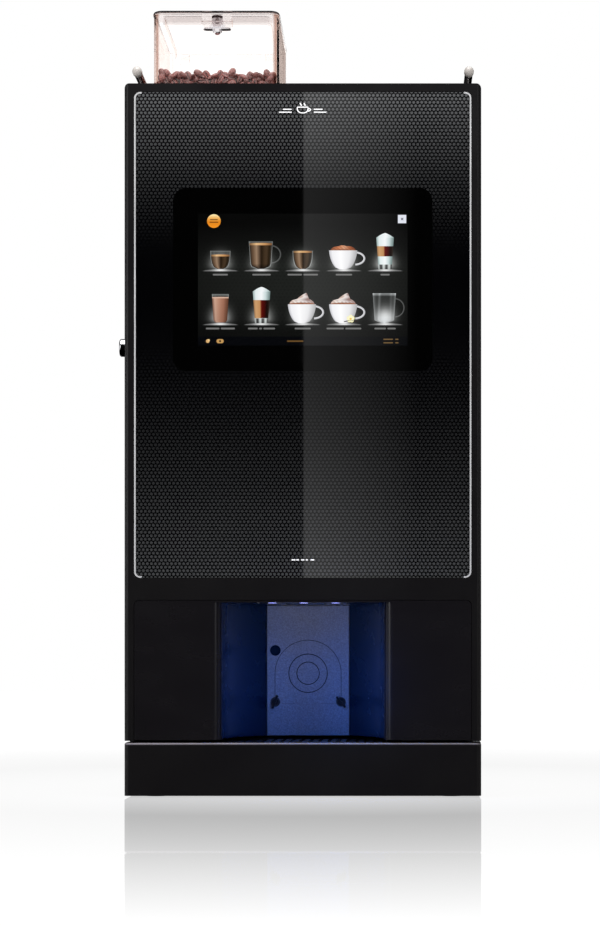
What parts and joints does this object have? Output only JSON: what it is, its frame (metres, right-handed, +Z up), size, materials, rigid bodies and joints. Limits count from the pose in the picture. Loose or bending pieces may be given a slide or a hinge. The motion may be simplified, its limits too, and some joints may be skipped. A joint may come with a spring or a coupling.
{
  "type": "hot coffee vending machine",
  "caption": "Table-top bean-to-cup hot drink vending machine: hinged glass door with touch screen, lit cup bay, drip drawer, clear bean hopper and full brewing inside.",
  "frame": {"origin": "centre of the footprint on the standing surface", "axes": "+X to the right of a person facing the machine, -Y the front, +Z up"},
  "size_m": [0.378, 0.5, 0.837],
  "materials": {
    "case": "satin black fine-grain powder coat",
    "door": "satin black moulded frame with a fine grain",
    "glass": "back-printed black glass with a dot pattern",
    "touch_glass": "gloss black touch glass",
    "trim": "bright anodised strip",
    "niche": "gloss black moulding",
    "niche_back": "fine-textured grey panel",
    "dark_fastener": "moulded dark thumb screws",
    "led": "clear lens over blue light",
    "chrome": "polished",
    "rail": "polished tube",
    "rail_cap": "satin light-grey domes",
    "hopper_clear": "clear moulded copolyester, slightly smoky",
    "beans": "medium-dark roast, slightly oily",
    "tray": "black moulded tray",
    "grille": "dark coated steel grille",
    "rubber": "soft feet",
    "zinc": "zinc-plated sheet",
    "inner_cover": "grey-black inner cover",
    "electronics": "green boards with components",
    "white_plastic": "food-grade white moulding",
    "clear_powder": "translucent powder canister",
    "grey_plastic": "grey moulding",
    "motor_metal": "machined motor can",
    "burr_steel": "hardened steel burr",
    "silicone": "translucent silicone tube",
    "boiler_steel": "stainless pressure vessel",
    "brass": "brass and steel pump",
    "black_plastic": "black moulding",
    "display": "panel module with its board"
  },
  "bodies": {
    "cabinet": {"base_pan": "case", "feet": "rubber", "side_panel_left": "case", "side_panel_right": "case", "rear_panel": "case", "top_panel": "case", "mounting_plate": "zinc", "rails": "rail", "rail_end_caps": "rail_cap", "door_hinges": "zinc", "hopper": "hopper_clear", "coffee_beans": "beans", "grinder_housing": "grey_plastic", "grinder_motor": "motor_metal", "brewer_frame": "white_plastic", "brewer_motor": "motor_metal", "canisters": "clear_powder", "canister_lids": "black_plastic", "powder_motors": "motor_metal", "mixer_bowls": "clear_powder", "nozzle_block": "black_plastic", "hoses": "silicone", "boiler": "boiler_steel", "water_pump": "brass", "air_break_tank": "white_plastic", "power_supply": "zinc", "control_board": "electronics", "fan_housing": "black_plastic", "mains_inlet": "black_plastic", "inlet_valve": "white_plastic"},
    "door": {"door_frame": "door", "glass_panel": "glass", "panel_trims": "trim", "touch_panel": "touch_glass", "display_module": "display", "door_inner_cover": "inner_cover", "niche_moulding": "niche", "niche_back_panel": "niche_back", "niche_thumbscrews": "dark_fastener", "led_lenses": "led", "lock_body": "chrome"},
    "door_lock_cam": {"lock_cam": "chrome"},
    "drip_drawer": {"drawer_front": "case", "drip_tray": "tray", "drip_grille": "grille"},
    "hopper_lid": {"hopper_lid": "hopper_clear"},
    "hopper_lid_lock": {"hopper_lid_lock": "chrome"},
    "bean_shutter": {"bean_shutter": "black_plastic"},
    "grinder_burr": {"grinder_burr": "burr_steel"},
    "brewer_gear": {"brewer_gear": "white_plastic"},
    "brewer_piston": {"brewer_piston": "grey_plastic"},
    "grounds_bin": {"grounds_bin": "grey_plastic"},
    "exhaust_fan": {"exhaust_fan": "black_plastic"},
    "power_switch": {"power_switch": "black_plastic"},
    "auger_1": {"auger_1": "white_plastic"},
    "whipper_1": {"whipper_1": "white_plastic"},
    "auger_2": {"auger_2": "white_plastic"},
    "whipper_2": {"whipper_2": "white_plastic"},
    "auger_3": {"auger_3": "white_plastic"},
    "whipper_3": {"whipper_3": "white_plastic"}
  },
  "joints": [
    {"name": "door_hinge", "type": "hinge", "parent": "cabinet", "child": "door", "pos_m": [0.1765, -0.209, 0.4], "axis": [0, 0, 1], "range_deg": [0, 105]},
    {"name": "door_lock", "type": "hinge", "parent": "door", "child": "door_lock_cam", "pos_m": [-0.18, -0.218, 0.47], "axis": [1, 0, 0], "range_deg": [0, 90]},
    {"name": "drip_drawer_slide", "type": "slide", "parent": "cabinet", "child": "drip_drawer", "axis": [0, -1, 0], "range_m": [0, 0.18]},
    {"name": "grounds_bin_slide", "type": "slide", "parent": "cabinet", "child": "grounds_bin", "axis": [0, -1, 0], "range_m": [0, 0.025]},
    {"name": "hopper_lid_hinge", "type": "hinge", "parent": "cabinet", "child": "hopper_lid", "pos_m": [-0.096, 0.01, 0.83], "axis": [-1, 0, 0], "range_deg": [0, 95]},
    {"name": "hopper_lid_lock_turn", "type": "hinge", "parent": "hopper_lid", "child": "hopper_lid_lock", "pos_m": [-0.096, -0.149, 0.83], "axis": [0, 0, 1], "range_deg": [0, 90]},
    {"name": "main_switch", "type": "hinge", "parent": "cabinet", "child": "power_switch", "pos_m": [0.155, 0.236, 0.095], "axis": [1, 0, 0], "range_deg": [0, 16]},
    {"name": "milling_burr_spin", "type": "hinge", "parent": "cabinet", "child": "grinder_burr", "pos_m": [-0.096, -0.0825, 0.62], "axis": [0, 0, 1], "continuous": true},
    {"name": "piston_gear_turn", "type": "hinge", "parent": "cabinet", "child": "brewer_gear", "pos_m": [-0.07755, -0.07, 0.35], "axis": [0, 1, 0], "range_deg": [0, 150]},
    {"name": "piston_lift", "type": "slide", "parent": "cabinet", "child": "brewer_piston", "axis": [0, 0, 1], "range_m": [0, 0.035]},
    {"name": "shutter_slide", "type": "slide", "parent": "cabinet", "child": "bean_shutter", "axis": [0, 1, 0], "range_m": [0, 0.042]},
    {"name": "vent_fan_spin", "type": "hinge", "parent": "cabinet", "child": "exhaust_fan", "pos_m": [0.1, 0.225, 0.6], "axis": [0, 1, 0], "continuous": true},
    {"name": "powder_auger_1_spin", "type": "hinge", "parent": "cabinet", "child": "auger_1", "pos_m": [0.017, -0.05, 0.486], "axis": [0, 1, 0], "continuous": true},
    {"name": "powder_whipper_1_spin", "type": "hinge", "parent": "cabinet", "child": "whipper_1", "pos_m": [0.017, -0.15, 0.385], "axis": [0, 1, 0], "continuous": true},
    {"name": "powder_auger_2_spin", "type": "hinge", "parent": "cabinet", "child": "auger_2", "pos_m": [0.081, -0.05, 0.486], "axis": [0, 1, 0], "continuous": true},
    {"name": "powder_whipper_2_spin", "type": "hinge", "parent": "cabinet", "child": "whipper_2", "pos_m": [0.081, -0.15, 0.385], "axis": [0, 1, 0], "continuous": true},
    {"name": "powder_auger_3_spin", "type": "hinge", "parent": "cabinet", "child": "auger_3", "pos_m": [0.145, -0.05, 0.486], "axis": [0, 1, 0], "continuous": true},
    {"name": "powder_whipper_3_spin", "type": "hinge", "parent": "cabinet", "child": "whipper_3", "pos_m": [0.145, -0.15, 0.385], "axis": [0, 1, 0], "continuous": true}
  ],
  "couplings": [
    {"joint": "piston_gear_turn", "follows": "piston_lift", "rad_per_m": 74.074}
  ]
}
